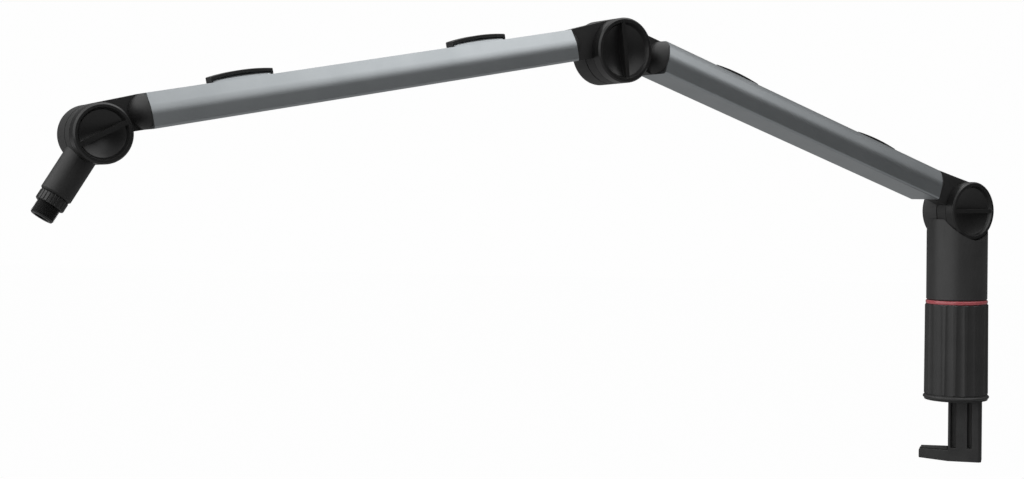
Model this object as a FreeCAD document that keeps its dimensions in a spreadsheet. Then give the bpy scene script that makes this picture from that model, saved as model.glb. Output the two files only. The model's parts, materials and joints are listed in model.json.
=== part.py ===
"""Desk-clamped microphone boom arm: a fluted clamp column, two tubular arms on
friction hinges with finger knobs, and a tilting head with a microphone thread.

Lengths are millimetres and angles are degrees. The origin is on the swivel axis,
on the desk's top; +Z is up and the clamp's foot reaches towards -X.
"""
import FreeCAD, Part
import Sketcher
import math
import os
from types import SimpleNamespace

# Driving dimensions

SIZES = {
    # fits between pieces
    "running_gap": 0.3,
    "face_gap": 0.1,
    "shaft_fit": 0.05,
    "overrun": 1.0,
    # base of the clamp
    "desk_pad_radius": 27.2,
    "desk_pad_thickness": 1.2,
    "base_plate_radius": 28.4,
    "base_plate_height": 3.0,
    "base_plate_edge": 1.0,
    "thrust_washer_radius": 27.0,
    "thrust_washer_thickness": 0.8,
    # core of the clamp and the sleeve that turns on it
    "core_radius": 24.4,
    "core_cap_height": 9.8,
    "core_screw_circle": 17.0,
    "sleeve_length": 79.4,
    "sleeve_top_radius": 27.2,
    "sleeve_bottom_radius": 27.6,
    "sleeve_edge": 0.6,
    "flute_count": 18,
    "flute_depth": 1.2,
    "flute_radius": 9.0,
    "accent_ring_radius": 26.6,
    "accent_ring_height": 3.4,
    # jaw under the desk
    "throat": 43.2,
    "jaw_pad_thickness": 1.2,
    "jaw_pad_margin": 0.8,
    "leg_front": 6.0,
    "leg_back": 22.4,
    "leg_width": 18.0,
    "leg_rise": 40.0,
    "leg_corner": 3.0,
    "leg_flange": 2.4,
    "front_groove_width": 4.6,
    "leg_rib_width": 9.6,
    "back_groove_width": 3.6,
    "leg_groove_depth": 6.0,
    "leg_groove_margin": 2.0,
    "foot_reach": 31.2,
    "foot_root_height": 10.1,
    "foot_tip_height": 8.2,
    "foot_tip_width": 13.5,
    "foot_tip_chamfer": 1.0,
    # swivel
    "spindle_radius": 9.0,
    "spindle_head_room": 6.7,
    "spindle_flange_radius": 16.0,
    "spindle_flange_height": 3.0,
    "spindle_screw_circle": 12.4,
    "spindle_groove_depth": 1.6,
    "spindle_groove_width": 5.0,
    "spindle_groove_share": 0.52,
    "bush_wall": 2.0,
    "bush_length_share": 0.24,
    "bush_flange_radius": 15.0,
    "bush_flange_thickness": 1.2,
    "grub_radius": 2.0,
    "grub_sink": 1.5,
    "column_radius": 26.2,
    "column_edge": 0.8,
    "shoulder_height": 166.7,
    "horn_drop": 7.0,
    # friction hinges
    "shoulder_hub_radius": 25.5,
    "elbow_hub_radius": 24.5,
    "wrist_hub_radius": 19.5,
    "hub_gap": 1.0,
    "front_hub_thickness": 9.7,
    "back_hub_thickness": 15.0,
    "friction_washer_thickness": 0.9,
    "friction_washer_margin": 1.5,
    "back_cap_thickness": 3.0,
    "back_cap_edge": 1.6,
    "back_cap_spigot": 0.5,
    "bolt_radius": 4.0,
    "bolt_head_radius": 7.0,
    "bolt_head_height": 4.6,
    "knob_thickness": 9.0,
    "knob_edge": 1.2,
    "knob_bowl_depth": 6.5,
    "knob_bowl_share": 0.86,
    "knob_lip_run": 1.6,
    "knob_lip_depth": 3.0,
    "knob_rib_thickness": 3.2,
    "knob_rib_drop": 0.3,
    "knob_boss_radius": 8.7,
    "knob_boss_length": 5.0,
    "insert_radius": 6.2,
    "insert_length": 6.4,
    # arm tubes and their end fittings
    "lower_arm_length": 391.6,
    "upper_arm_length": 405.0,
    "tube_width": 34.0,
    "lower_tube_height": 27.5,
    "lower_tube_top": 24.6,
    "upper_tube_height": 23.6,
    "upper_tube_top": 21.3,
    "tube_upright_share": 0.375,
    "tube_lean": 24.0,
    "tube_shoulder_round": 18.0,
    "tube_wall": 2.0,
    "tube_bottom_round": 2.0,
    "tube_inner_round": 1.0,
    "tube_setback": 41.5,
    "wrist_tube_setback": 34.0,
    "dome_length": 10.0,
    "plug_length": 24.0,
    "arm_screw_radius": 2.0,
    "arm_screw_head_radius": 3.6,
    "arm_screw_head_height": 1.8,
    "arm_screw_length": 9.0,
    "arm_screw_inset": 12.0,
    # cable clips
    "clip_length": 45.0,
    "clip_width": 10.0,
    "clip_rear": 11.0,
    "clip_strip_share": 0.42,
    "clip_foot": 1.6,
    "lower_clip_end_height": 2.9,
    "lower_clip_middle_height": 4.2,
    "upper_clip_end_height": 4.0,
    "upper_clip_middle_height": 5.8,
    "lower_clip_near": 110.0,
    "lower_clip_far": 121.6,
    "upper_clip_near": 113.5,
    "upper_clip_far": 106.0,
    # microphone head
    "mic_tube_radius": 10.5,
    "mic_tube_reach": 47.0,
    "mic_tube_chamfer": 1.2,
    "lock_ring_radius": 9.75,
    "lock_ring_length": 6.8,
    "lock_ring_edge": 0.6,
    "lock_ring_notches": 24,
    "lock_ring_notch_radius": 0.5,
    "thread_radius": 7.9375,
    "thread_shank_radius": 7.4,
    "thread_length": 9.0,
    "thread_root": 12.0,
    "thread_bore_radius": 5.0,
    "thread_chamfer": 0.8,
    # small screws of the clamp
    "screw_radius": 1.5,
    "screw_head_radius": 2.8,
    "screw_head_height": 1.7,
    "screw_length": 8.0,
    "screw_count": 3,
    "screw_first_angle": 120.0,
    # pose
    "swivel_angle": 49.16,
    "shoulder_pitch": 18.5,
    "elbow_bend": 28.34,
    "wrist_bend": 46.9,
    "shoulder_rib_angle": 0.0,
    "elbow_rib_angle": 96.0,
    "wrist_rib_angle": 26.0,
}


class Size:
    """A number together with the sheet expression that it comes from."""

    def __init__(self, value, text):
        self.value = value
        self.text = text

    def __add__(self, other):
        other = as_size(other)
        return Size(self.value + other.value, f"({self.text} + {other.text})")

    def __sub__(self, other):
        other = as_size(other)
        return Size(self.value - other.value, f"({self.text} - {other.text})")

    def __mul__(self, other):
        other = as_size(other)
        return Size(self.value * other.value, f"({self.text} * {other.text})")

    def __truediv__(self, other):
        other = as_size(other)
        return Size(self.value / other.value, f"({self.text} / {other.text})")

    def __neg__(self):
        return Size(-self.value, f"(-{self.text})")


def as_size(number):
    if isinstance(number, Size):
        return number
    return Size(float(number), str(number))


def root(size):
    return Size(math.sqrt(size.value), f"sqrt({size.text})")


def turned(radius, angle):
    """The two coordinates of a point at a radius and an angle in degrees."""
    across = Size(math.cos(math.radians(angle.value)), f"cos({angle.text} * 1 deg)")
    along = Size(math.sin(math.radians(angle.value)), f"sin({angle.text} * 1 deg)")
    return radius * across, radius * along


def bind(item, attribute, size):
    item.setExpression(attribute, as_size(size).text)


doc = FreeCAD.newDocument("boom_arm")
sheet = doc.addObject("Spreadsheet::Sheet", "Sizes")
for row, (alias, number) in enumerate(SIZES.items(), start=1):
    sheet.set(f"A{row}", alias)
    sheet.set(f"B{row}", str(number))
    sheet.setAlias(f"B{row}", alias)
s = SimpleNamespace(**{alias: Size(number, f"Sizes.{alias}") for alias, number in SIZES.items()})

# Levels and distances that several pieces share

plate_level = s.desk_pad_thickness
washer_level = plate_level + s.base_plate_height
sleeve_level = washer_level + s.thrust_washer_thickness + s.face_gap
sleeve_top_level = sleeve_level + s.sleeve_length
ring_level = sleeve_top_level + s.running_gap
core_top_level = ring_level + s.accent_ring_height
column_level = core_top_level + s.running_gap
slot_top_level = core_top_level - s.core_cap_height
spindle_top_level = s.shoulder_height - s.shoulder_hub_radius - s.running_gap - s.spindle_head_room
spindle_length = spindle_top_level - core_top_level
groove_level = core_top_level + spindle_length * s.spindle_groove_share
foot_level = -(s.throat + s.jaw_pad_thickness)

half_gap = s.hub_gap / 2
front_face = half_gap + s.front_hub_thickness
back_face = half_gap + s.back_hub_thickness
knob_back = front_face + s.running_gap
knob_front = knob_back + s.knob_thickness
boss_back = knob_back - s.knob_boss_length
insert_front = boss_back + s.insert_length
bolt_bore = s.bolt_radius + s.shaft_fit
bolt_head_pocket = s.bolt_head_height + s.running_gap
boss_pocket = s.knob_boss_length
bush_radius = s.spindle_radius + s.shaft_fit + s.bush_wall
bush_length = spindle_length * s.bush_length_share

half_width = s.tube_width / 2
tip_level = s.mic_tube_reach + s.face_gap + s.lock_ring_length + s.face_gap + s.thread_length
thread_level = tip_level - s.thread_length

# Frames of the moving bodies, each built on the one before it

wrist_rib_turn = s.wrist_bend + s.elbow_bend - s.shoulder_pitch - s.wrist_rib_angle
FRAMES = {
    "clamp": "create(<<placement>>)",
    "column": ("clamp", (0, 0, 0), "z", s.swivel_angle),
    "shoulder": ("column", (0, 0, s.shoulder_height), "y", 0),
    "lower_arm": ("shoulder", (0, 0, 0), "y", s.shoulder_pitch),
    "elbow": ("lower_arm", (-s.lower_arm_length, 0, 0), "y", 0),
    "elbow_turned": ("elbow", (0, 0, 0), "z", 180),
    "upper_arm": ("elbow", (0, 0, 0), "y", -s.elbow_bend),
    "wrist": ("upper_arm", (-s.upper_arm_length, 0, 0), "y", 0),
    "wrist_turned": ("wrist", (0, 0, 0), "z", 180),
    "mic_head": ("wrist", (0, 0, 0), "y", -s.wrist_bend),
    "shoulder_knob": ("shoulder", (0, 0, 0), "y", -s.shoulder_rib_angle),
    "elbow_knob": ("elbow", (0, 0, 0), "y", -(s.shoulder_pitch + s.elbow_rib_angle)),
    "wrist_knob": ("mic_head", (0, 0, 0), "y", wrist_rib_turn),
}
AXES = {"x": (1, 0, 0), "y": (0, 1, 0), "z": (0, 0, 1)}


def vector_text(numbers):
    return "create(<<vector>>; " + "; ".join(as_size(n).text for n in numbers) + ")"


frames = doc.addObject("Spreadsheet::Sheet", "Frames")
for row, (alias, step) in enumerate(FRAMES.items(), start=1):
    if isinstance(step, tuple):
        base, move, axis, angle = step
        turn = f"create(<<rotation>>; {vector_text(AXES[axis])}; {as_size(angle).text})"
        step = f"{base}_frame * create(<<placement>>; {vector_text(move)}; {turn})"
    frames.set(f"A{row}", alias)
    frames.set(f"B{row}", f"={step}")
    frames.setAlias(f"B{row}", f"{alias}_frame")
doc.recompute()

# Profiles that are drawn on a sketch


def outline(points, arcs=None):
    """A closed outline; arcs gives the radius and turn of the stretches that are round.

    A turn of 1 is left-handed and -1 right-handed, along the order of the points.
    """
    arcs = arcs or {}
    points = [tuple(as_size(n) for n in point) for point in points]

    def draw(sketch):
        places = [FreeCAD.Vector(x.value, y.value, 0) for x, y in points]
        lines, starts, ends = [], [], []
        for n, start in enumerate(places):
            end = places[(n + 1) % len(places)]
            if n in arcs:
                radius, turn = arcs[n]
                lines.append(arc_between(start, end, radius.value, turn))
                starts.append(1 if turn > 0 else 2)
                ends.append(2 if turn > 0 else 1)
            else:
                lines.append(Part.LineSegment(start, end))
                starts.append(1)
                ends.append(2)
        first = sketch.GeometryCount
        sketch.addGeometry(lines, False)
        for n in range(len(lines)):
            after = (n + 1) % len(lines)
            join = Sketcher.Constraint("Coincident", first + n, ends[n], first + after, starts[after])
            sketch.addConstraint(join)
        for n, (x, y) in enumerate(points):
            fix_point(sketch, first + n, starts[n], x, y)
        for n, (radius, turn) in arcs.items():
            fix(sketch, Sketcher.Constraint("Radius", first + n, radius.value), radius)

    return draw


def arc_between(start, end, radius, turn):
    chord = end - start
    left = FreeCAD.Vector(-chord.y, chord.x, 0).normalize()
    reach = math.sqrt(max(radius**2 - (chord.Length / 2) ** 2, 0))
    centre = (start + end) / 2 + left * (reach * turn)
    first, last = (start, end) if turn > 0 else (end, start)
    angles = [math.atan2(p.y - centre.y, p.x - centre.x) for p in (first, last)]
    return Part.ArcOfCircle(Part.Circle(centre, FreeCAD.Vector(0, 0, 1), radius), *angles)


def fix(sketch, constraint, size):
    number = sketch.addConstraint(constraint)
    bind(sketch, f"Constraints[{number}]", size)


def fix_point(sketch, line, end, x, y):
    fix(sketch, Sketcher.Constraint("DistanceX", -1, 1, line, end, x.value), x)
    fix(sketch, Sketcher.Constraint("DistanceY", -1, 1, line, end, y.value), y)


def discs(radius, centres=((0, 0),)):
    """Circles of one radius."""

    def draw(sketch):
        for x, y in centres:
            x, y = as_size(x), as_size(y)
            centre = FreeCAD.Vector(x.value, y.value, 0)
            line = sketch.addGeometry(Part.Circle(centre, FreeCAD.Vector(0, 0, 1), radius.value), False)
            fix_point(sketch, line, 3, x, y)
            fix(sketch, Sketcher.Constraint("Radius", line, radius.value), radius)

    return draw


def rectangle(left, right, low, high):
    return outline([(left, low), (right, low), (right, high), (left, high)])


def both(*profiles):
    def draw(sketch):
        for profile in profiles:
            profile(sketch)

    return draw


# Construction of a piece

SIDE = "XZ_Plane"
PLAN = "XY_Plane"
SECTION = "YZ_Plane"
pieces = []


class Piece:
    """A body in a frame. Its side sketches face -Y, where the knobs are."""

    def __init__(self, label, frame):
        self.body = doc.addObject("PartDesign::Body", label)
        self.body.Label = label
        self.body.AllowCompound = True
        self.body.setExpression("Placement", f"Frames.{frame}_frame")
        pieces.append(self.body)

    def origin(self, role):
        return next(f for f in self.body.Origin.OriginFeatures if f.Role == role)

    def sketch(self, plane, offset, profile, shift=0):
        sketch = self.body.newObject("Sketcher::SketchObject", "Profile")
        sketch.AttachmentSupport = [(self.origin(plane), "")]
        sketch.MapMode = "FlatFace"
        bind(sketch, "AttachmentOffset.Base.z", offset)
        bind(sketch, "AttachmentOffset.Base.x", shift)
        profile(sketch)
        return sketch

    def feature(self, kind, sketch):
        feature = self.body.newObject(f"PartDesign::{kind}", kind)
        feature.Profile = sketch
        return feature

    def pad(self, plane, start, length, profile):
        feature = self.feature("Pad", self.sketch(plane, start, profile))
        bind(feature, "Length", length)
        return feature

    def cut(self, plane, start, length, profile):
        """A pocket that runs from start along the plane's normal."""
        feature = self.feature("Pocket", self.sketch(plane, start, profile))
        feature.Reversed = True
        bind(feature, "Length", length)
        return feature

    def revolve(self, plane, axis, profile):
        feature = self.feature("Revolution", self.sketch(plane, 0, profile))
        feature.ReferenceAxis = (self.origin(axis), [""])
        return feature

    def groove(self, plane, shift, profile):
        """A turned cut about the sketch's own upright axis."""
        sketch = self.sketch(plane, 0, profile, shift)
        feature = self.feature("Groove", sketch)
        feature.ReferenceAxis = (sketch, ["V_Axis"])
        return feature

    def repeat(self, feature, count, axis="Z_Axis"):
        pattern = self.body.newObject("PartDesign::PolarPattern", "Pattern")
        pattern.Originals = [feature]
        pattern.Axis = (self.origin(axis), [""])
        bind(pattern, "Occurrences", count)
        self.body.Tip = pattern
        return pattern

    def dress(self, kind, attribute, size, wanted):
        """A fillet or chamfer on the edges that wanted picks."""
        doc.recompute()
        tip = self.body.Tip
        names = [f"Edge{n}" for n, edge in enumerate(tip.Shape.Edges, start=1) if wanted(edge.BoundBox)]
        feature = self.body.newObject(f"PartDesign::{kind}", kind)
        feature.Base = (tip, names)
        bind(feature, attribute, size)

    def fillet(self, radius, wanted):
        self.dress("Fillet", "Radius", radius, wanted)

    def chamfer(self, width, wanted):
        self.dress("Chamfer", "Size", width, wanted)


EDGE_TOLERANCE = 1e-4


def near(number, size):
    return math.isclose(number, as_size(size).value, abs_tol=EDGE_TOLERANCE)


# Clamp: pads, plate, core and screws


def leg_slot(right):
    """Plan of the slot that the jaw's leg slides in."""
    side = s.leg_width / 2 + s.running_gap
    return rectangle(-(s.leg_front + s.running_gap), right, -side, side)


closed_slot = leg_slot(s.leg_back + s.running_gap)


def screw_ring(circle):
    step = Size(360 / s.screw_count.value, f"(360 / {s.screw_count.text})")
    places = []
    for n in range(int(s.screw_count.value)):
        angle = s.screw_first_angle + step * n
        places.append(turned(circle, angle))
    return places


core_screw_angles_share = (1, 1.5, 2)
core_screw_places = [turned(s.core_screw_circle, s.screw_first_angle * n) for n in core_screw_angles_share]
spindle_screw_places = screw_ring(s.spindle_screw_circle)

desk_pad = Piece("desk_pad", "clamp")
desk_pad.pad(PLAN, 0, s.desk_pad_thickness, both(discs(s.desk_pad_radius), closed_slot))

base_plate = Piece("base_plate", "clamp")
base_plate.pad(PLAN, plate_level, s.base_plate_height, both(discs(s.base_plate_radius), closed_slot))
base_plate.chamfer(
    s.base_plate_edge,
    lambda box: near(box.ZLength, 0) and near(box.XMax, s.base_plate_radius),
)
core_screw_holes = discs(s.screw_radius + s.shaft_fit, core_screw_places)
base_plate.cut(PLAN, plate_level, s.base_plate_height, core_screw_holes)
head_pocket = s.screw_head_radius + s.running_gap
base_plate.cut(PLAN, plate_level, s.screw_head_height + s.face_gap, discs(head_pocket, core_screw_places))

core_post = Piece("core_post", "clamp")
core_post.pad(PLAN, washer_level, core_top_level - washer_level, discs(s.core_radius))
core_post.cut(PLAN, washer_level, slot_top_level - washer_level, leg_slot(s.core_radius + s.overrun))
flange_level = core_top_level - s.spindle_flange_height
core_post.cut(PLAN, flange_level, s.spindle_flange_height, discs(s.spindle_flange_radius + s.shaft_fit))
core_screw_depth = s.screw_length + s.screw_head_height - s.base_plate_height + s.overrun
core_post.cut(PLAN, washer_level, core_screw_depth, core_screw_holes)
spindle_screw_level = core_top_level - s.screw_head_height - s.screw_length
core_post.cut(
    PLAN,
    spindle_screw_level - s.face_gap,
    s.screw_length,
    discs(s.screw_radius + s.shaft_fit, spindle_screw_places),
)

core_screws = Piece("core_screws", "clamp")
core_screws.pad(PLAN, plate_level, s.screw_head_height, discs(s.screw_head_radius, core_screw_places))
core_screws.pad(
    PLAN, plate_level + s.screw_head_height, s.screw_length, discs(s.screw_radius, core_screw_places)
)

thrust_washer = Piece("grip_thrust_washer", "clamp")
washer_hole = discs(s.core_radius + s.shaft_fit)
thrust_ring = both(discs(s.thrust_washer_radius), washer_hole)
thrust_washer.pad(PLAN, washer_level, s.thrust_washer_thickness, thrust_ring)

accent_ring = Piece("accent_ring", "clamp")
accent_ring.pad(PLAN, ring_level, s.accent_ring_height, both(discs(s.accent_ring_radius), washer_hole))

grip_sleeve = Piece("grip_sleeve", "clamp")
sleeve_bore = s.core_radius + s.running_gap
grip_sleeve.revolve(
    SIDE,
    "Z_Axis",
    outline(
        [
            (sleeve_bore, sleeve_level),
            (s.sleeve_bottom_radius - s.sleeve_edge, sleeve_level),
            (s.sleeve_bottom_radius, sleeve_level + s.sleeve_edge),
            (s.sleeve_top_radius, sleeve_top_level - s.sleeve_edge),
            (s.sleeve_top_radius - s.sleeve_edge, sleeve_top_level),
            (sleeve_bore, sleeve_top_level),
        ]
    ),
)
flute_centre = s.sleeve_bottom_radius - s.flute_depth + s.flute_radius
flute = grip_sleeve.cut(PLAN, sleeve_level, s.sleeve_length, discs(s.flute_radius, [(flute_centre, 0)]))
grip_sleeve.repeat(flute, s.flute_count)

# Jaw: a cast leg with a ribbed recess on each side, and the foot under the desk

foot_bottom = foot_level - s.foot_root_height
tip_bottom = foot_level - s.foot_tip_height
clamp_jaw = Piece("clamp_jaw", "clamp")
clamp_jaw.pad(
    SIDE,
    -(s.leg_width / 2),
    s.leg_width,
    outline(
        [
            (-s.leg_front, s.leg_rise),
            (-s.leg_front, foot_level),
            (-(s.foot_reach - s.foot_tip_chamfer), foot_level),
            (-s.foot_reach, foot_level - s.foot_tip_chamfer),
            (-s.foot_reach, tip_bottom),
            (-s.leg_front, foot_bottom),
            (s.leg_back, foot_bottom),
            (s.leg_back, s.leg_rise),
        ]
    ),
)
clamp_jaw.fillet(s.leg_corner, lambda box: near(box.XMin, s.leg_back) and box.ZLength > s.leg_rise.value)
for side in (1, -1):
    clamp_jaw.cut(
        PLAN,
        foot_bottom - s.overrun,
        s.foot_root_height + s.overrun * 2,
        outline(
            [
                (-s.leg_front, s.leg_width / 2 * side),
                (-(s.foot_reach + s.overrun), s.foot_tip_width / 2 * side),
                (-(s.foot_reach + s.overrun), s.leg_width * side),
                (-s.leg_front, s.leg_width * side),
            ]
        ),
    )
front_groove = s.leg_flange - s.leg_front
back_groove = front_groove + s.front_groove_width + s.leg_rib_width
groove_bottom = foot_level + s.leg_groove_margin
groove_top = s.leg_rise - s.leg_groove_margin
for start in (-(s.leg_width / 2), s.leg_width / 2 - s.leg_groove_depth):
    for left, width in ((front_groove, s.front_groove_width), (back_groove, s.back_groove_width)):
        clamp_jaw.cut(
            SIDE, start, s.leg_groove_depth, rectangle(left, left + width, groove_bottom, groove_top)
        )

jaw_pad = Piece("jaw_pad", "clamp")
pad_root = -(s.leg_front + s.jaw_pad_margin)
pad_tip = -(s.foot_reach - s.foot_tip_chamfer - s.jaw_pad_margin / 2)
pad_root_side = s.leg_width / 2 - s.jaw_pad_margin
pad_tip_side = s.foot_tip_width / 2 - s.jaw_pad_margin / 2
jaw_pad.pad(
    PLAN,
    foot_level,
    s.jaw_pad_thickness,
    outline(
        [
            (pad_root, -pad_root_side),
            (pad_root, pad_root_side),
            (pad_tip, pad_tip_side),
            (pad_tip, -pad_tip_side),
        ]
    ),
)

# Swivel: the spindle on the core, the bushes and the column that turns on them

groove_radius = s.spindle_radius - s.spindle_groove_depth
spindle = Piece("swivel_spindle", "clamp")
spindle.revolve(
    SIDE,
    "Z_Axis",
    outline(
        [
            (0, flange_level),
            (s.spindle_flange_radius, flange_level),
            (s.spindle_flange_radius, core_top_level),
            (s.spindle_radius, core_top_level),
            (s.spindle_radius, groove_level - s.spindle_groove_width / 2),
            (groove_radius, groove_level - s.spindle_groove_width / 2),
            (groove_radius, groove_level + s.spindle_groove_width / 2),
            (s.spindle_radius, groove_level + s.spindle_groove_width / 2),
            (s.spindle_radius, spindle_top_level),
            (0, spindle_top_level),
        ]
    ),
)
spindle_screw_holes = discs(s.screw_radius + s.shaft_fit, spindle_screw_places)
spindle.cut(PLAN, flange_level, s.spindle_flange_height, spindle_screw_holes)
spindle.cut(
    PLAN,
    core_top_level - s.screw_head_height - s.face_gap,
    s.screw_head_height + s.face_gap,
    discs(s.screw_head_radius + s.shaft_fit, spindle_screw_places),
)

spindle_screws = Piece("spindle_screws", "clamp")
spindle_screws.pad(
    PLAN,
    core_top_level - s.screw_head_height - s.face_gap,
    s.screw_head_height,
    discs(s.screw_head_radius, spindle_screw_places),
)
spindle_screws.pad(
    PLAN, spindle_screw_level - s.face_gap, s.screw_length, discs(s.screw_radius, spindle_screw_places)
)

flange_bottom = core_top_level + s.face_gap
flange_top = flange_bottom + s.bush_flange_thickness
upper_bush_level = spindle_top_level - bush_length
bush_bore = s.spindle_radius + s.shaft_fit

lower_bush = Piece("swivel_bush_lower", "column")
lower_bush.revolve(
    SIDE,
    "Z_Axis",
    outline(
        [
            (bush_bore, flange_bottom),
            (s.bush_flange_radius, flange_bottom),
            (s.bush_flange_radius, flange_top),
            (bush_radius, flange_top),
            (bush_radius, flange_bottom + bush_length),
            (bush_bore, flange_bottom + bush_length),
        ]
    ),
)

upper_bush = Piece("swivel_bush_upper", "column")
upper_bush.pad(PLAN, upper_bush_level, bush_length, both(discs(bush_radius), discs(bush_bore)))

horn_level = s.shoulder_height - s.horn_drop
column = Piece("swivel_column", "column")
column.pad(PLAN, column_level, horn_level - column_level, discs(s.column_radius))
column.chamfer(s.column_edge, lambda box: near(box.ZMax, column_level))
barrel_clearance = s.shoulder_hub_radius + s.running_gap
cope = discs(barrel_clearance, [(0, s.shoulder_height)])
column.cut(SIDE, -half_gap, s.column_radius + s.overrun, cope)
column.cut(SIDE, -(s.column_radius + s.overrun), s.column_radius + s.overrun - back_face, cope)
column.pad(SIDE, -back_face, s.back_hub_thickness, discs(s.shoulder_hub_radius, [(0, s.shoulder_height)]))
bore_top = spindle_top_level + s.overrun
column.cut(PLAN, column_level - s.overrun, bore_top - column_level + s.overrun, discs(bush_radius))
column.cut(PLAN, column_level - s.overrun, flange_top - column_level + s.overrun, discs(s.bush_flange_radius))
grub_hole = discs(s.grub_radius + s.shaft_fit, [(0, groove_level)])
column.cut(SIDE, -(s.column_radius + s.overrun), s.column_radius, grub_hole)
column.cut(
    SIDE,
    -(back_face + s.overrun),
    s.back_hub_thickness + s.overrun * 2,
    discs(bolt_bore, [(0, s.shoulder_height)]),
)
column.cut(
    SIDE,
    -(back_face + s.overrun),
    bolt_head_pocket + s.overrun,
    discs(s.bolt_head_radius + s.running_gap, [(0, s.shoulder_height)]),
)

grub_screw = Piece("swivel_grub_screw", "column")
grub_tip = groove_radius + s.running_gap
grub_screw.pad(
    SIDE,
    s.grub_sink - s.column_radius,
    s.column_radius - s.grub_sink - grub_tip,
    discs(s.grub_radius, [(0, groove_level)]),
)

# Friction hinge: bolt, washer and cap on one arm's half hub, the knob on the other's


def across(points):
    """Points given as radius and distance in front of the hinge's middle."""
    return [(radius, -as_size(front)) for radius, front in points]


def hinge_hardware(name, hub_radius):
    """The pieces that lie on a hinge's axis, in the order from back to front."""
    cap_back = back_face + s.back_cap_thickness
    spigot = s.bolt_head_radius
    cap = Piece(f"{name}_back_cap", name)
    cap.revolve(
        PLAN,
        "Y_Axis",
        outline(
            across(
                [
                    (0, -cap_back),
                    (hub_radius - s.back_cap_edge, -cap_back),
                    (hub_radius, -(cap_back - s.back_cap_edge)),
                    (hub_radius, -back_face),
                    (spigot, -back_face),
                    (spigot, s.back_cap_spigot - s.running_gap - back_face),
                    (0, s.back_cap_spigot - s.running_gap - back_face),
                ]
            )
        ),
    )

    head_front = bolt_head_pocket - back_face
    bolt = Piece(f"{name}_bolt", name)
    bolt.revolve(
        PLAN,
        "Y_Axis",
        outline(
            across(
                [
                    (0, head_front - s.bolt_head_height),
                    (s.bolt_head_radius, head_front - s.bolt_head_height),
                    (s.bolt_head_radius, head_front),
                    (s.bolt_radius, head_front),
                    (s.bolt_radius, insert_front - s.face_gap),
                    (0, insert_front - s.face_gap),
                ]
            )
        ),
    )

    washer = Piece(f"{name}_friction_washer", name)
    ring = both(discs(hub_radius - s.friction_washer_margin), discs(bolt_bore))
    washer.pad(SIDE, -half_gap, s.friction_washer_thickness, ring)

    insert = Piece(f"{name}_knob_insert", f"{name}_knob")
    insert.pad(SIDE, boss_back, s.insert_length, both(discs(s.insert_radius), discs(bolt_bore)))

    finger_knob(f"{name}_knob", hub_radius)


def finger_knob(label, hub_radius):
    """A round knob with a steep lip and a shallow bowl, parted by a thin rib for the fingers."""
    bowl = hub_radius * s.knob_bowl_share
    floor = knob_front - s.knob_bowl_depth
    hollow = bowl - s.knob_lip_run
    sag = s.knob_bowl_depth - s.knob_lip_depth
    hollow_radius = (hollow * hollow + sag * sag) / (sag * 2)
    knob = Piece(label, label)
    knob.revolve(
        PLAN,
        "Y_Axis",
        outline(
            across(
                [
                    (s.insert_radius, boss_back),
                    (s.knob_boss_radius, boss_back),
                    (s.knob_boss_radius, knob_back),
                    (hub_radius, knob_back),
                    (hub_radius, knob_front - s.knob_edge),
                    (hub_radius - s.knob_edge, knob_front),
                    (bowl, knob_front),
                    (hollow, knob_front - s.knob_lip_depth),
                    (0, floor),
                    (0, insert_front),
                    (s.insert_radius, insert_front),
                ]
            ),
            arcs={7: (hollow_radius, 1)},
        ),
    )
    rib_length = bowl * 2
    rib_back = insert_front + s.face_gap
    knob.pad(
        SIDE,
        rib_back,
        knob_front - s.knob_rib_drop - rib_back,
        rectangle(-(rib_length / 2), rib_length / 2, -(s.knob_rib_thickness / 2), s.knob_rib_thickness / 2),
    )


# Arm tubes, their end fittings, screws and cable clips


def tube_levels(top, height):
    """How high a tube's back, shoulders, middle and underside lie above its hinges' axes."""
    bottom = top - height
    shoulder = bottom + height * s.tube_upright_share
    return SimpleNamespace(top=top, shoulder=shoulder, middle=top - height / 2, bottom=bottom)


lower_tube = tube_levels(s.lower_tube_top, s.lower_tube_height)
upper_tube = tube_levels(s.upper_tube_top, s.upper_tube_height)


def tube_flank(levels, inset):
    """One side of the arm's section above its upright part, and the radius that it bends with."""
    bend = s.tube_shoulder_round - inset
    across, rise = turned(bend, s.tube_lean)
    bend_side = half_width - s.tube_shoulder_round + across
    bend_top = levels.shoulder + rise
    top = levels.top - inset
    back_side = bend_side - (top - bend_top) * rise / across
    return [(half_width - inset, levels.shoulder), (bend_side, bend_top), (back_side, top)], bend


def tube_section(levels, inset, bottom_round):
    """The arm's section: sides that lean in above an upright part, and flat back and underside."""
    side = half_width - inset
    bottom = levels.bottom + inset
    right, bend = tube_flank(levels, inset)
    left = [(-across, level) for across, level in reversed(right)]
    return outline(
        [
            (bottom_round - side, bottom),
            (side - bottom_round, bottom),
            (side, bottom + bottom_round),
            *right,
            *left,
            (-side, bottom + bottom_round),
        ],
        arcs={
            1: (bottom_round, 1),
            3: (bend, 1),
            7: (bend, 1),
            9: (bottom_round, 1),
        },
    )


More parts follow.
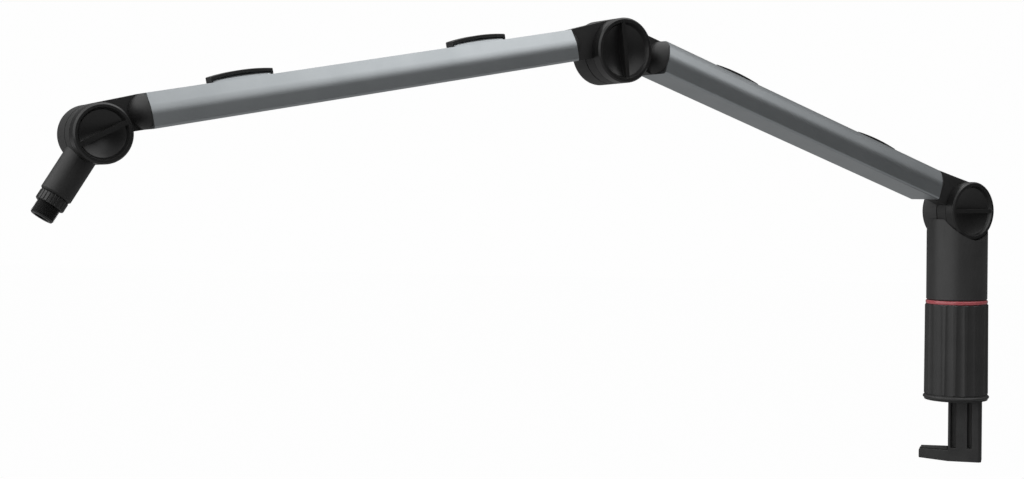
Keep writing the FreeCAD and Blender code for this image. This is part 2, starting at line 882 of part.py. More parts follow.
def arm_fitting(label, frame, levels, hub_radius, thickness, pocket_radius, pocket_depth, setback):
    """A moulded end: a plug in the tube, a domed shoulder and the hinge's half hub."""
    dome_back = (half_width * half_width - s.dome_length * s.dome_length) / (s.dome_length * 2)
    half_height = levels.top - levels.middle
    dome_radius = (half_height * half_height + s.dome_length * s.dome_length) / (s.dome_length * 2)
    clear_of_dome = dome_back + s.dome_length + half_width
    fitting = Piece(label, frame)
    fitting.pad(SECTION, -setback, s.dome_length, tube_section(levels, s.face_gap, s.tube_bottom_round))
    fitting.groove(
        SIDE,
        -(setback + dome_back),
        outline(
            [
                (dome_back, levels.bottom),
                (clear_of_dome, levels.bottom),
                (clear_of_dome, levels.top),
                (dome_back, levels.top),
            ],
            arcs={3: (dome_radius, -1)},
        ),
    )
    neck_top = levels.top - s.face_gap
    neck_bottom = levels.bottom + s.face_gap
    fitting.pad(
        SIDE,
        half_gap,
        thickness,
        outline([(0, neck_bottom), (0, hub_radius), (-setback, neck_top), (-setback, neck_bottom)]),
    )
    flank, bend = tube_flank(levels, s.face_gap)
    lower, middle, upper = [(-side, level) for side, level in flank]
    clear_side = lower[0] - s.overrun
    clear_top = neck_top + hub_radius
    fitting.cut(
        SECTION,
        -setback,
        setback,
        outline(
            [upper, middle, lower, (clear_side, lower[1]), (clear_side, clear_top), (upper[0], clear_top)],
            arcs={1: (bend, 1)},
        ),
    )
    fitting.pad(SIDE, half_gap, thickness, discs(hub_radius))
    plug_inset = s.tube_wall + s.face_gap
    plug = tube_section(levels, plug_inset, s.tube_inner_round)
    fitting.pad(SECTION, -(setback + s.plug_length), s.plug_length, plug)
    fitting.cut(SIDE, half_gap - s.overrun, thickness + s.overrun * 2, discs(bolt_bore))
    fitting.cut(
        SIDE, half_gap + thickness - pocket_depth, pocket_depth + s.overrun, discs(pocket_radius)
    )
    screw_place = (-(setback + s.arm_screw_inset), levels.middle / 2)
    fitting.cut(SIDE, -half_width, s.tube_width, discs(s.arm_screw_radius + s.shaft_fit, [screw_place]))


def front_fitting(label, frame, levels, hub_radius, setback):
    """The half hub under a knob."""
    boss_hole = s.knob_boss_radius + s.running_gap
    depth = boss_pocket + s.running_gap
    arm_fitting(label, frame, levels, hub_radius, s.front_hub_thickness, boss_hole, depth, setback)


def back_fitting(label, frame, levels, hub_radius, setback):
    """The half hub that holds the bolt's head."""
    head_hole = s.bolt_head_radius + s.running_gap
    thickness = s.back_hub_thickness
    arm_fitting(label, frame, levels, hub_radius, thickness, head_hole, bolt_head_pocket, setback)


def arm(name, levels, length, near_setback, far_setback):
    """An arm's tube and the screws on its rear side."""
    screw_level = levels.middle / 2
    places = [
        (-(near_setback + s.arm_screw_inset), screw_level),
        (far_setback + s.arm_screw_inset - length, screw_level),
    ]
    tube = Piece(f"{name}_tube", name)
    inner = tube_section(levels, s.tube_wall, s.tube_inner_round)
    tube.pad(
        SECTION,
        far_setback - length,
        length - far_setback - near_setback,
        both(tube_section(levels, 0, s.tube_bottom_round), inner),
    )
    head_hole = discs(s.arm_screw_head_radius + s.shaft_fit, places)
    tube.cut(SIDE, -(half_width + s.overrun), s.tube_wall + s.overrun * 2, head_hole)

    screws = Piece(f"{name}_screws", name)
    head_front = s.tube_wall - half_width
    heads = discs(s.arm_screw_head_radius, places)
    screws.pad(SIDE, head_front - s.arm_screw_head_height, s.arm_screw_head_height, heads)
    screws.pad(SIDE, head_front, s.arm_screw_length, discs(s.arm_screw_radius, places))


def cable_clip(label, frame, base, distance, end_height, middle_height):
    """A low arched strap behind the middle of the tube's back, open to both sides for the cable."""
    half = s.clip_length / 2
    rise = middle_height - end_height
    arch_radius = (half * half + rise * rise) / (rise * 2)
    ends = base + end_height
    underside = ends - middle_height * s.clip_strip_share
    near_end = half - distance
    far_end = -(half + distance)
    clip = Piece(label, frame)
    clip.pad(
        SIDE,
        -s.clip_rear,
        s.clip_width,
        outline(
            [(far_end, underside), (near_end, underside), (near_end, ends), (far_end, ends)],
            arcs={0: (arch_radius, -1), 2: (arch_radius, 1)},
        ),
    )
    clip.pad(
        SIDE,
        -s.clip_rear,
        s.clip_width,
        both(
            rectangle(far_end, far_end + s.clip_foot, base, ends),
            rectangle(near_end - s.clip_foot, near_end, base, ends),
        ),
    )


hinge_hardware("shoulder", s.shoulder_hub_radius)
front_fitting("lower_arm_shoulder_fitting", "lower_arm", lower_tube, s.shoulder_hub_radius, s.tube_setback)
arm("lower_arm", lower_tube, s.lower_arm_length, s.tube_setback, s.tube_setback)
lower_heights = (s.lower_clip_end_height, s.lower_clip_middle_height)
lower_far = s.lower_arm_length - s.lower_clip_far
cable_clip("lower_arm_clip_near", "lower_arm", lower_tube.top, s.lower_clip_near, *lower_heights)
cable_clip("lower_arm_clip_far", "lower_arm", lower_tube.top, lower_far, *lower_heights)
back_fitting("lower_arm_elbow_fitting", "elbow_turned", lower_tube, s.elbow_hub_radius, s.tube_setback)

hinge_hardware("elbow", s.elbow_hub_radius)
front_fitting("upper_arm_elbow_fitting", "upper_arm", upper_tube, s.elbow_hub_radius, s.tube_setback)
arm("upper_arm", upper_tube, s.upper_arm_length, s.tube_setback, s.wrist_tube_setback)
upper_heights = (s.upper_clip_end_height, s.upper_clip_middle_height)
upper_far = s.upper_arm_length - s.upper_clip_far
cable_clip("upper_arm_clip_near", "upper_arm", upper_tube.top, s.upper_clip_near, *upper_heights)
cable_clip("upper_arm_clip_far", "upper_arm", upper_tube.top, upper_far, *upper_heights)
back_fitting("upper_arm_wrist_fitting", "wrist_turned", upper_tube, s.wrist_hub_radius, s.wrist_tube_setback)

hinge_hardware("wrist", s.wrist_hub_radius)

# Microphone head: the tilting holder, its threaded stud and the lock ring

mic_holder = Piece("mic_holder", "mic_head")
mic_holder.pad(SECTION, -s.mic_tube_reach, s.mic_tube_reach, discs(s.mic_tube_radius))
mic_holder.chamfer(s.mic_tube_chamfer, lambda box: near(box.XMax, -s.mic_tube_reach))
hub_clearance = discs(s.wrist_hub_radius + s.running_gap)
behind = s.mic_tube_radius + s.overrun
mic_holder.cut(SIDE, -behind, behind + half_gap, hub_clearance)
mic_holder.cut(SIDE, front_face, s.mic_tube_radius, hub_clearance)
mic_holder.pad(SIDE, half_gap, s.front_hub_thickness, discs(s.wrist_hub_radius))
mic_holder.cut(SIDE, half_gap - s.overrun, s.front_hub_thickness + s.overrun * 2, discs(bolt_bore))
boss_depth = boss_pocket + s.running_gap
boss_hole = discs(s.knob_boss_radius + s.running_gap)
mic_holder.cut(SIDE, front_face - boss_depth, boss_depth + s.overrun, boss_hole)
stud_hole = discs(s.thread_shank_radius + s.shaft_fit)
mic_holder.cut(SECTION, -(s.mic_tube_reach + s.overrun), s.thread_root + s.overrun, stud_hole)

stud = Piece("mic_thread_stud", "mic_head")
stud_back = s.mic_tube_reach - s.thread_root
stud_bore = discs(s.thread_bore_radius)
stud.pad(SECTION, -tip_level, s.thread_length, both(discs(s.thread_radius), stud_bore))
stud.chamfer(
    s.thread_chamfer,
    lambda box: near(box.XMax, -tip_level) and near(box.ZMax, s.thread_radius),
)
shank = both(discs(s.thread_shank_radius), stud_bore)
stud.pad(SECTION, -thread_level, thread_level - stud_back, shank)

lock_ring = Piece("mic_lock_ring", "mic_head")
lock_ring.pad(
    SECTION,
    -(thread_level - s.face_gap),
    s.lock_ring_length,
    both(discs(s.lock_ring_radius), stud_hole),
)
lock_ring.chamfer(
    s.lock_ring_edge,
    lambda box: near(box.XLength, 0) and near(box.ZMax, s.lock_ring_radius),
)
notch = lock_ring.cut(
    SECTION,
    -(thread_level - s.face_gap),
    s.lock_ring_length,
    discs(s.lock_ring_notch_radius, [(0, s.lock_ring_radius)]),
)
lock_ring.repeat(notch, s.lock_ring_notches, "X_Axis")

doc.recompute()

# Each piece is sound before any is written

for item in doc.Objects:
    if "Invalid" in item.State or "Error" in item.State:
        raise RuntimeError(f"{item.Label}: {item.State}")
for body in pieces:
    if body.Shape.isNull() or not body.Shape.isValid():
        raise RuntimeError(f"{body.Label} has no sound shape")

os.makedirs("parts", exist_ok=True)
for body in pieces:
    body.Shape.exportStep(f"parts/{body.Label}.step")
    print(f"{body.Label}: {len(body.Shape.Solids)} solids, {body.Shape.Volume:.1f} mm3")
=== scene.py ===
import json
import math

import bmesh
import bpy
from mathutils import Matrix, Vector

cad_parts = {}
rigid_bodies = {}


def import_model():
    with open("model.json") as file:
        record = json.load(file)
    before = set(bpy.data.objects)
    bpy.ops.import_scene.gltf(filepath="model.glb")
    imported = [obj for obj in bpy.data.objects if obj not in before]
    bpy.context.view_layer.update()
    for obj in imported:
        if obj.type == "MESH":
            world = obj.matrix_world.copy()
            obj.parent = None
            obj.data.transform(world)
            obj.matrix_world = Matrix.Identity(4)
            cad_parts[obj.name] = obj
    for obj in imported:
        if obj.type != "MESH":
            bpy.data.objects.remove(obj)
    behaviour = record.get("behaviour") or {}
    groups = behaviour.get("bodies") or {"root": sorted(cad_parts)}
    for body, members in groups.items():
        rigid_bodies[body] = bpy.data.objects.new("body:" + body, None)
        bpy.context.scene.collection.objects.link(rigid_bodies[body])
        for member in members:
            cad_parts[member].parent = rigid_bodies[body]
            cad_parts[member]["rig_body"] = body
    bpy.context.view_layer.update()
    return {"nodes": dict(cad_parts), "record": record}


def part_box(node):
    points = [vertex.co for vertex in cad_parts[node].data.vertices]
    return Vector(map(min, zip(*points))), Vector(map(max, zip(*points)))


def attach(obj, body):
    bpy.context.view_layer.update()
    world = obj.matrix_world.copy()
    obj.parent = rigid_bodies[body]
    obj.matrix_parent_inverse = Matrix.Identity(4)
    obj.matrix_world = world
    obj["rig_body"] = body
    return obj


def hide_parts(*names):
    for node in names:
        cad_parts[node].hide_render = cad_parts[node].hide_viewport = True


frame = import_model()
nodes = frame["nodes"]

# Desk pad: a disc of black rubber under the base plate, punched from sheet and glued on, so that the
# clamp holds the desk without marking it. Its surface is matt, with a fine open grain.


class Signal:
    """A value in a finish's node tree. Sums and products of signals add Math nodes."""

    def __init__(self, tree, socket):
        self.tree = tree
        self.socket = socket

    def node(self, kind, settings, inputs, output=0):
        """Any node of the tree: its settings first, then the values or links of its sockets."""
        made = self.tree.nodes.new(kind)
        for name, value in settings.items():
            if name == "stops":
                for stop, (place, colour) in zip(made.color_ramp.elements, value):
                    stop.position = place
                    stop.color = (*colour, 1)
            else:
                setattr(made, name, value)
        for name, value in inputs.items():
            if isinstance(value, Signal):
                self.tree.links.new(value.socket, made.inputs[name])
            else:
                made.inputs[name].default_value = value
        return Signal(self.tree, made.outputs[output])

    def math(self, operation, first, second):
        return self.node("ShaderNodeMath", {"operation": operation}, {0: first, 1: second})

    def __add__(self, other):
        return self.math("ADD", self, other)

    __radd__ = __add__

    def __sub__(self, other):
        return self.math("SUBTRACT", self, other)

    def __rsub__(self, other):
        return self.math("SUBTRACT", other, self)

    def __mul__(self, other):
        return self.math("MULTIPLY", self, other)

    __rmul__ = __mul__

    def noise(self, size, detail):
        """Soft random shading whose patches are about size metres across, on these coordinates."""
        inputs = {"Vector": self, "Scale": 1 / size, "Detail": detail}
        return self.node("ShaderNodeTexNoise", {}, inputs)

    def tones(self, dark, light, spread=0.4):
        """A colour that goes from dark to light over the middle of this signal's values."""
        stops = ((0.5 - spread / 2, dark), (0.5 + spread / 2, light))
        return self.node("ShaderNodeValToRGB", {"stops": stops}, {"Fac": self})

    def between(self, low, high):
        """This signal brought from 0 to 1 to the values from low to high."""
        return self * (high - low) + low


class Finish:
    """A material with one surface shader, whose patterns lie on the object's own coordinates."""

    def __init__(self, name, **constants):
        self.material = bpy.data.materials.new(name)
        self.material.use_nodes = True
        self.tree = self.material.node_tree
        self.shader = self.tree.nodes["Principled BSDF"]
        self.place = Signal(self.tree, self.tree.nodes.new("ShaderNodeTexCoord").outputs["Object"])
        for socket, value in constants.items():
            self.shader.inputs[socket.replace("_", " ")].default_value = value

    def feed(self, socket, signal):
        self.tree.links.new(signal.socket, self.shader.inputs[socket])

    def relief(self, height, depth):
        """Small unevenness of the surface, depth metres from its lowest to its highest."""
        bump = height.node("ShaderNodeBump", {}, {"Height": height, "Distance": depth, "Strength": 1.0})
        self.feed("Normal", bump)


def grey(level):
    return (level, level, level)


WELD = 1e-6
FLAT = math.radians(0.2)
SHARP = math.radians(28)


def welded(node):
    """A solid's shape with its loose triangles joined and the edges inside its flat faces cleared."""
    form = bmesh.new()
    form.from_mesh(nodes[node].data)
    bmesh.ops.remove_doubles(form, verts=form.verts, dist=WELD)
    bmesh.ops.dissolve_limit(form, angle_limit=FLAT, verts=form.verts, edges=form.edges)
    return form


def shown(name, form, finish, body, smooth=True):
    """A finished mesh as a piece that moves with a body."""
    for face in form.faces:
        face.smooth = smooth
    mesh = bpy.data.meshes.new(name)
    form.to_mesh(mesh)
    form.free()
    mesh.materials.append(finish.material)
    piece = bpy.data.objects.new(name, mesh)
    bpy.context.collection.objects.link(piece)
    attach(piece, body)
    return piece


def rounded(piece, edge, segments=2):
    """A small radius along a piece's sharp edges."""
    rounding = piece.modifiers.new("edges", "BEVEL")
    rounding.width = edge
    rounding.segments = segments
    rounding.limit_method = "ANGLE"
    rounding.angle_limit = SHARP


def softened(node, finish, edge, segments=2, form=None):
    """A piece in a solid's place, its sharp edges rounded as moulding or tumbling leaves them."""
    if form is None:
        form = welded(node)
    piece = shown(f"{node}_shell", form, finish, nodes[node]["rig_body"])
    rounded(piece, edge, segments)
    shading = piece.modifiers.new("shading", "WEIGHTED_NORMAL")
    shading.keep_sharp = True
    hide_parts(node)


rubber_edge = 0.0003

rubber = Finish("black_rubber", Roughness=0.8)
rubber_grain = rubber.place.noise(size=0.0006, detail=3.0)
rubber.feed("Base Color", rubber_grain.tones(grey(0.016), grey(0.03), spread=0.3))
rubber.relief(rubber_grain, depth=0.00012)

softened("desk_pad", rubber, rubber_edge)

# Base plate: a round aluminium casting, powder coated black, that stands on the desk. Its rim stands
# out a little below the sleeve, and three screws hold it to the core.

casting_edge = 0.0006

casting = Finish("black_casting")
coat_grain = casting.place.noise(size=0.0009, detail=4.0)
coat_patches = casting.place.noise(size=0.012, detail=2.0)
casting.feed("Base Color", coat_patches.tones(grey(0.017), grey(0.027)))
casting.feed("Roughness", coat_grain.between(0.36, 0.56))
casting.relief(coat_grain, depth=0.00006)

softened("base_plate", casting, casting_edge)

# Core of the clamp: a raw casting inside the sleeve, with the steel spindle that the column turns on,
# their screws and the column's two nylon bushes. None of it shows until the clamp is taken apart, so
# the solids stay as they are and only get their finish.


def painted(finish, *names):
    """Solids that stay as they are, in their own finish."""
    for name in names:
        nodes[name].data.materials.clear()
        nodes[name].data.materials.append(finish.material)


def stretched(place, turn, scale):
    """Coordinates turned to a piece's own axes and then stretched along them."""
    turned = place.node("ShaderNodeMapping", {}, {"Vector": place, "Rotation": turn})
    return place.node("ShaderNodeMapping", {}, {"Vector": turned, "Scale": scale})


raw = Finish("raw_casting", Metallic=1.0)
raw_grain = raw.place.noise(size=0.0015, detail=4.0)
raw.feed("Base Color", raw_grain.tones(grey(0.34), grey(0.5)))
raw.feed("Roughness", raw_grain.between(0.4, 0.65))
raw.relief(raw_grain, depth=0.0001)

steel = Finish("steel", Metallic=1.0)
turning_marks = stretched(steel.place, turn=(0, 0, 0), scale=(1, 1, 14))
steel_marks = turning_marks.noise(size=0.004, detail=3.0)
steel.feed("Base Color", steel_marks.tones(grey(0.42), grey(0.55)))
steel.feed("Roughness", steel_marks.between(0.22, 0.42))

nylon = Finish("nylon", Roughness=0.45)
nylon_cloud = nylon.place.noise(size=0.005, detail=2.0)
nylon.feed("Base Color", nylon_cloud.tones((0.68, 0.66, 0.6), (0.76, 0.74, 0.69)))

painted(raw, "core_post")
painted(steel, "core_screws", "swivel_spindle", "spindle_screws")
painted(nylon, "swivel_bush_lower", "swivel_bush_upper")

# Accent ring: a thin ring of red plastic between the sleeve and the column, polished and well rounded.
# It lies on the core and stays still when either of its neighbours turns.

ring_edge = 0.001

red = Finish("red_ring", Roughness=0.22, Coat_Weight=0.4)
red_cloud = red.place.noise(size=0.003, detail=2.0)
red.feed("Base Color", red_cloud.tones((0.45, 0.085, 0.1), (0.53, 0.115, 0.13)))

softened("accent_ring", red, ring_edge, segments=4)

# Grip sleeve: a black moulding with wide shallow flutes for the hand, which runs on a thrust washer of
# the same plastic. Turning it draws the jaw up and closes the clamp on the desk.

sleeve_edge = 0.0004


def satin_black(name, dark, light, smooth, rough):
    """Black with fine pits and faint cloudiness, as textured plastic and anodised metal have it."""
    finish = Finish(name)
    pits = finish.place.noise(size=0.0005, detail=2.0)
    cloud = finish.place.noise(size=0.02, detail=3.0)
    finish.feed("Base Color", cloud.tones(grey(dark), grey(light)))
    finish.feed("Roughness", pits.between(smooth, rough))
    finish.relief(pits, depth=0.00003)
    return finish


sleeve_black = satin_black("black_sleeve", dark=0.023, light=0.029, smooth=0.4, rough=0.54)
painted(sleeve_black, "grip_thrust_washer")
softened("grip_sleeve", sleeve_black, sleeve_edge)

# Clamp jaw: a cast leg with ribbed recesses that slides in the core, and the foot that reaches under
# the desk. It has the base plate's powder coat, and a rubber pad is glued on the foot.

softened("clamp_jaw", casting, casting_edge, segments=3)
softened("jaw_pad", rubber, rubber_edge)

# Column: turned aluminium, anodised a satin black, that swivels on the clamp. It is coped for the
# shoulder's hub, which is part of it. At the back a socket screw runs in the spindle's groove and keeps
# the column on it.

column_edge = 0.0005

column_black = satin_black("black_column", dark=0.031, light=0.038, smooth=0.34, rough=0.46)
softened("swivel_column", column_black, column_edge)

joints = {joint["name"]: joint for joint in frame["record"]["behaviour"]["joints"]}
rear = Vector(joints["elbow_tilt"]["axis"])

HEAD_SIDES = 40
KEY_SIDES = 6
HEAD_EDGE_SHARE = 0.08


def socket_screws(node, heads, head_radius, key_radius, key_depth, length):
    """Turned steel screws with a hexagon socket, their heads' faces at the given points, facing the rear."""
    form = bmesh.new()
    upright = rear.to_track_quat("Z", "Y").to_matrix().to_4x4()
    for head in heads:
        rim = bmesh.ops.create_circle(form, segments=HEAD_SIDES, radius=head_radius)["verts"]
        key = bmesh.ops.create_circle(form, segments=KEY_SIDES, radius=key_radius)["verts"]
        rim_edges = list({edge for vert in rim for edge in vert.link_edges})
        key_edges = list({edge for vert in key for edge in vert.link_edges})
        bmesh.ops.bridge_loops(form, edges=rim_edges + key_edges)
        made = list(rim) + list(key)
        for edges, drop in ((rim_edges, length), (key_edges, key_depth)):
            wall = bmesh.ops.extrude_edge_only(form, edges=edges)["geom"]
            foot = [item for item in wall if isinstance(item, bmesh.types.BMVert)]
            bmesh.ops.translate(form, verts=foot, vec=(0, 0, -drop))
            loop = [item for item in wall if isinstance(item, bmesh.types.BMEdge)
                    and all(vert in foot for vert in item.verts)]
            bmesh.ops.edgeloop_fill(form, edges=loop)
            made += foot
        bmesh.ops.transform(form, matrix=Matrix.Translation(head) @ upright, verts=made)
    bmesh.ops.recalc_face_normals(form, faces=form.faces)
    piece = shown(f"{node}_turned", form, steel, nodes[node]["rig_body"])
    rounded(piece, head_radius * HEAD_EDGE_SHARE)
    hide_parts(node)


grub_out = 0.0247
grub_low, grub_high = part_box("swivel_grub_screw")
grub_face = rear * grub_out + Vector((0, 0, (grub_low[2] + grub_high[2]) / 2))
socket_screws("swivel_grub_screw", [grub_face],
              head_radius=0.002, key_radius=0.001, key_depth=0.0012, length=0.017)

# Hinges: at the shoulder, the elbow and the wrist a steel bolt runs through both half hubs into a brass
# insert in the knob, with a nylon washer between the hubs and a cap over the bolt's head. The knob is a
# smooth black moulding with a rib for the fingers across its bowl.

cap_edge = 0.0004
knob_edge = 0.0007

brass = Finish("brass", Metallic=1.0)
brass_marks = brass.place.noise(size=0.002, detail=3.0)
brass.feed("Base Color", brass_marks.tones((0.6, 0.42, 0.16), (0.72, 0.53, 0.24)))
brass.feed("Roughness", brass_marks.between(0.25, 0.45))

moulding_black = satin_black("black_moulding", dark=0.016, light=0.023, smooth=0.44, rough=0.62)
knob_black = satin_black("black_knob", dark=0.011, light=0.016, smooth=0.24, rough=0.36)

for hinge in ("shoulder", "elbow", "wrist"):
    painted(steel, f"{hinge}_bolt")
    painted(brass, f"{hinge}_knob_insert")
    painted(nylon, f"{hinge}_friction_washer")
    softened(f"{hinge}_back_cap", moulding_black, cap_edge)
    softened(f"{hinge}_knob", knob_black, knob_edge, segments=3)

# Arm tubes: extruded aluminium with leaning flanks, a flat back and a flat underside, anodised grey and
# satin, with faint draw lines along their length. On the rear side a socket screw holds each end. A low
# leaning lip pressed up from the back lies under each cable clip.

shoulder, elbow, wrist = (Vector(joints[hinge]["pos_m"])
                          for hinge in ("shoulder_tilt", "elbow_tilt", "wrist_tilt"))

lip_front = 0.0014
lip_length = 0.0416
lip_thickness = 0.0012
lip_root = 0.0006
lip_lean = math.tan(math.radians(30))
lip_steps = 14
lip_edge = 0.0002


def pressed_lip(name, place, axes, end_height, middle_height, finish, body):
    """An arched lip on a tube's back, leaning to the rear; axes are its length, height and thickness."""
    form = bmesh.new()
    bmesh.ops.create_grid(form, x_segments=lip_steps, y_segments=1, size=0.5)
    for vert in form.verts:
        arch = 1 - (2 * vert.co.x) ** 2
        top = end_height + (middle_height - end_height) * arch
        vert.co.x *= lip_length
        vert.co.y = top if vert.co.y > 0 else -lip_root
        vert.co.z = lip_front + vert.co.y * lip_lean
    wall = bmesh.ops.extrude_face_region(form, geom=form.faces[:])["geom"]
    far_side = [item for item in wall if isinstance(item, bmesh.types.BMVert)]
    bmesh.ops.translate(form, verts=far_side, vec=(0, 0, lip_thickness))
    bmesh.ops.recalc_face_normals(form, faces=form.faces)
    turn = Matrix(axes).transposed().to_4x4()
    bmesh.ops.transform(form, matrix=Matrix.Translation(place) @ turn, verts=form.verts)
    rounded(shown(name, form, finish, body), lip_edge)


lower_back = 0.0246
lower_back_half = 0.01105
flank_lean = math.radians(66)
ease_radius = 0.0108
ease_cuts = 11
ease_margin = 0.027


def eased(node):
    """A solid of the lower arm with the arm's front top edge widely rounded.

    Cuts fanned about the rounding's axis give it points, and those outside it are drawn in to it.
    """
    form = welded(node)
    length = (elbow - shoulder).length
    out = (elbow - shoulder).normalized()
    up = rear.cross(out)
    centre_front = lower_back_half - ease_radius * math.tan(flank_lean / 2)
    centre = shoulder - rear * centre_front + up * (lower_back - ease_radius)
    for cut in range(ease_cuts):
        lean = flank_lean * cut / (ease_cuts - 1)
        everything = form.verts[:] + form.edges[:] + form.faces[:]
        facing = -rear * math.cos(lean) - up * math.sin(lean)
        bmesh.ops.bisect_plane(form, geom=everything, plane_co=centre, plane_no=facing, dist=WELD)
    for vert in form.verts:
        spoke = vert.co - centre
        along = spoke.dot(out)
        spoke -= out * along
        lean = math.atan2(-spoke.dot(rear), spoke.dot(up))
        on_edge = 0 <= lean <= flank_lean and ease_margin < along < length - ease_margin
        if on_edge and spoke.length > ease_radius:
            vert.co -= spoke * (1 - ease_radius / spoke.length)
    return form


tube_edge = 0.0006
tube_screw_out = 0.0168
line_stretch = 0.02


def grey_tube(arm, form, near_hinge, far_hinge, back, screw_rise, screws_in, clips_in, lip_end, lip_middle):
    """An arm's tube, lips and screws; screws_in and clips_in are lengths from the near and the far hinge."""
    out = (far_hinge - near_hinge).normalized()
    up = rear.cross(out)
    tube_grey = Finish(f"{arm}_grey", Metallic=1.0)
    own_axes = Matrix((out, rear, up)).to_euler()
    lines = stretched(tube_grey.place, own_axes, (line_stretch, 1, 1)).noise(size=0.0008, detail=3.0)
    cloud = tube_grey.place.noise(size=0.03, detail=2.0)
    tube_grey.feed("Base Color", cloud.tones((0.4, 0.425, 0.44), (0.44, 0.465, 0.48)))
    tube_grey.feed("Roughness", lines.between(0.34, 0.42))
    softened(f"{arm}_tube", tube_grey, tube_edge, form=form)
    for end, clip in (("near", near_hinge + out * clips_in[0]), ("far", far_hinge - out * clips_in[1])):
        pressed_lip(f"{arm}_lip_{end}", clip + up * back, (out, up, rear), lip_end, lip_middle,
                    tube_grey, arm)
    face = rear * tube_screw_out + up * screw_rise
    heads = [near_hinge + out * screws_in[0] + face, far_hinge - out * screws_in[1] + face]
    socket_screws(f"{arm}_screws", heads,
                  head_radius=0.0036, key_radius=0.0017, key_depth=0.0012, length=0.0108)


grey_tube("lower_arm", eased("lower_arm_tube"), shoulder, elbow, back=lower_back, screw_rise=0.0054,
          screws_in=(0.0535, 0.0535), clips_in=(0.11, 0.1216), lip_end=0.0013, lip_middle=0.00245)
grey_tube("upper_arm", welded("upper_arm_tube"), elbow, wrist, back=0.0213, screw_rise=0.00475,
          screws_in=(0.0535, 0.046), clips_in=(0.1135, 0.106), lip_end=0.0018, lip_middle=0.00337)

# End fittings: black mouldings plugged into the tubes and held by their screws, each with a domed
# shoulder and a half hub in one piece. On the lower arm they carry on the tube's wide rounding.

fitting_edge = 0.0006

for fitting in ("lower_arm_shoulder_fitting", "lower_arm_elbow_fitting"):
    softened(fitting, moulding_black, fitting_edge, form=eased(fitting))
for fitting in ("upper_arm_elbow_fitting", "upper_arm_wrist_fitting"):
    softened(fitting, moulding_black, fitting_edge)

# Cable clips: low arched straps moulded in black plastic, two on each tube's back. Each stands on a foot
# at either end and is open to both sides, so that a cable can be led under it.

clip_edge = 0.0005

clip_black = satin_black("black_clip", dark=0.013, light=0.019, smooth=0.36, rough=0.5)
for arm in ("lower_arm", "upper_arm"):
    for end in ("near", "far"):
        softened(f"{arm}_clip_{end}", clip_black, clip_edge)

# Microphone head: a moulded holder that tilts at the wrist, a bored stud pressed into it with the thread
# for the microphone, and a knurled ring on the thread that locks the microphone. Stud and ring are turned
# aluminium, anodised black, and the stud's tip is chamfered.

holder_edge = 0.0005
lock_ring_edge = 0.0002

dark_metal = Finish("dark_ring", Metallic=1.0)
dark_marks = dark_metal.place.noise(size=0.0015, detail=3.0)
dark_metal.feed("Base Color", dark_marks.tones(grey(0.05), grey(0.08)))
dark_metal.feed("Roughness", dark_marks.between(0.3, 0.5))
thread_black = satin_black("black_thread", dark=0.01, light=0.016, smooth=0.3, rough=0.45)

softened("mic_holder", moulding_black, holder_edge)

thread = next(mount for mount in frame["record"]["mounts"] if mount["name"] == "mic_thread")
thread_axis = Vector(thread["axis"])
thread_radius = thread["dims"]["r_mm"] / 1000
thread_straight = thread["dims"]["length_mm"] / 1000
thread_chamfer = 0.0008
thread_length = thread_straight + thread_chamfer
inch = 0.0254
threads_per_inch = 27
thread_pitch = inch / threads_per_inch
thread_depth = thread_pitch * 0.61
thread_run_in = thread_pitch * 1.5
thread_spare_turns = 3
thread_steps = 72
stud_bore = 0.005
shank_radius = 0.0074
shank_length = 0.0190

form = bmesh.new()
turns = math.ceil(thread_length / thread_pitch) + thread_spare_turns
zigzag = [form.verts.new((thread_radius - thread_depth * (row % 2), 0,
                          row / 2 * thread_pitch - thread_run_in)) for row in range(2 * turns)]
flanks = [form.edges.new(pair) for pair in zip(zigzag, zigzag[1:])]
bmesh.ops.spin(form, geom=zigzag + flanks, cent=(0, 0, 0), axis=(0, 0, 1), angle=math.tau, steps=thread_steps,
               dvec=(0, 0, thread_pitch / thread_steps))
bmesh.ops.remove_doubles(form, verts=form.verts, dist=WELD)
for level, way in ((0, -1), (thread_length, 1)):
    everything = form.verts[:] + form.edges[:] + form.faces[:]
    cut = bmesh.ops.bisect_plane(form, geom=everything, plane_co=(0, 0, level), plane_no=(0, 0, way),
                                 clear_outer=True)
    rim = [item for item in cut["geom_cut"] if isinstance(item, bmesh.types.BMEdge)]
    tip = bmesh.ops.edgeloop_fill(form, edges=rim)["faces"]
for vert in form.verts:
    widest = thread_radius - max(vert.co.z - thread_straight, 0)
    reach = math.hypot(vert.co.x, vert.co.y)
    if reach > widest:
        vert.co.x *= widest / reach
        vert.co.y *= widest / reach
bmesh.ops.inset_region(form, faces=tip, use_even_offset=True,
                       thickness=thread_radius - thread_chamfer - stud_bore)
bore = bmesh.ops.extrude_discrete_faces(form, faces=tip)["faces"]
bmesh.ops.translate(form, verts=bore[0].verts, vec=(0, 0, -thread_length))
shank = bmesh.ops.create_cone(form, cap_ends=True, segments=thread_steps, depth=shank_length,
                              radius1=shank_radius, radius2=shank_radius)["verts"]
bmesh.ops.translate(form, verts=shank, vec=(0, 0, -shank_length / 2))
bmesh.ops.recalc_face_normals(form, faces=form.faces)
root = Vector(thread["pos_m"]) - thread_axis * (thread_straight / 2)
placing = Matrix.Translation(root) @ thread_axis.to_track_quat("Z", "Y").to_matrix().to_4x4()
bmesh.ops.transform(form, matrix=placing, verts=form.verts)
mic_thread_stud = shown("mic_thread_stud_cut", form, thread_black, "mic_head", smooth=False)
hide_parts("mic_thread_stud")

softened("mic_lock_ring", dark_metal, lock_ring_edge)

# Stage: a white floor well below the arm, a wide soft lamp on the left, smaller ones above, on the right
# and in front, and the camera where the photograph was taken. The floor and the sky look plain white to
# the camera and are dim for the light that falls on the arm.

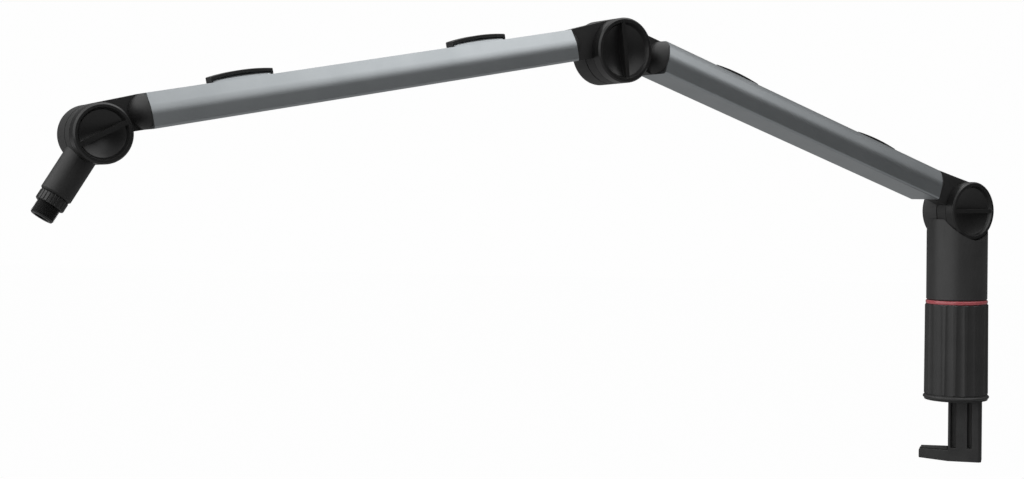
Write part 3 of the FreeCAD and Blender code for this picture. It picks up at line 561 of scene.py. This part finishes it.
floor_level = -0.42
floor_reach = 9.0
floor_grey = 0.33
floor_roughness = 0.9


def plain_white(tree, to_camera, to_mirrors):
    """The camera's own rays, and how white the camera and shiny surfaces see this."""
    paths = tree.nodes.new("ShaderNodeLightPath")
    sight, glossy, through = (Signal(tree, paths.outputs[f"Is {ray} Ray"])
                              for ray in ("Camera", "Glossy", "Transmission"))
    return sight, sight * to_camera + (glossy + through) * to_mirrors


floor_form = bmesh.new()
bmesh.ops.create_grid(floor_form, x_segments=1, y_segments=1, size=floor_reach)
bmesh.ops.translate(floor_form, verts=floor_form.verts, vec=(0, 0, floor_level))
floor_mesh = bpy.data.meshes.new("floor")
floor_form.to_mesh(floor_mesh)
floor_form.free()
floor = bpy.data.objects.new("floor", floor_mesh)
bpy.context.collection.objects.link(floor)

floor_white = Finish("floor_white", Base_Color=(*grey(floor_grey), 1), Roughness=floor_roughness,
                     Specular_IOR_Level=0.0)
sight, whiteness = plain_white(floor_white.tree, to_camera=0.985, to_mirrors=0.05)
lit = Signal(floor_white.tree, floor_white.shader.outputs[0])
glow = sight.node("ShaderNodeEmission", {}, {"Color": (1, 1, 1, 1), "Strength": 1.0})
floor_look = sight.node("ShaderNodeMixShader", {}, {0: whiteness, 1: lit, 2: glow})
floor_white.tree.links.new(floor_look.socket, floor_white.tree.nodes["Material Output"].inputs["Surface"])
floor_mesh.materials.append(floor_white.material)

world = bpy.data.worlds.new("studio")
bpy.context.scene.world = world
world.use_nodes = True
sky = world.node_tree
direction = Signal(sky, sky.nodes.new("ShaderNodeTexCoord").outputs["Generated"])
height = direction.node("ShaderNodeSeparateXYZ", {}, {"Vector": direction}, "Z")
dome = height.node("ShaderNodeMapRange", {"interpolation_type": "SMOOTHSTEP"},
                   {"Value": height, "From Min": 0.2, "From Max": 0.95, "To Min": 0.015, "To Max": 0.55})
sight, whiteness = plain_white(sky, to_camera=0.99, to_mirrors=0.05)
level = whiteness + (1 - sight) * dome
background = sky.nodes["Background"]
background.inputs["Color"].default_value = (1, 1, 1, 1)
sky.links.new(level.socket, background.inputs["Strength"])

camera_turn = math.radians(18)
camera_dip = math.radians(1.9)
view_turn = Matrix.Rotation(camera_turn, 3, "Z")

for name, place, aim, size, power in (
    ("overhead", (-0.45, 0.2, 1.7), (-0.4, 0, 0.2), 2.2, 16),
    ("left", (-3.8, -2.0, 1.3), (-0.3, 0, 0.1), 7.6, 235),
    ("right", (1.42, -0.7, 2.12), (-0.3, -0.15, 0.25), 2.0, 12.5),
    ("front", (1.1, -2.0, 1.3), (-0.3, -0.15, 0.25), 0.9, 2.0),
):
    lamp = bpy.data.lights.new(name, "AREA")
    lamp.size = size
    lamp.energy = power
    holder = bpy.data.objects.new(name, lamp)
    holder.location = view_turn @ Vector(place)
    sight_line = view_turn @ (Vector(aim) - Vector(place))
    holder.rotation_euler = sight_line.to_track_quat("-Z", "Y").to_euler()
    bpy.context.collection.objects.link(holder)

camera_data = bpy.data.cameras.new("camera")
camera_data.sensor_width = 36
camera_data.lens = 57.02
camera = bpy.data.objects.new("camera", camera_data)
camera.location = view_turn @ Vector((-0.3936, -1.4333, 0.189))
camera.rotation_euler = (math.radians(90) - camera_dip, 0, camera_turn)
bpy.context.collection.objects.link(camera)
bpy.context.scene.camera = camera
bpy.context.scene.view_settings.view_transform = "Standard"
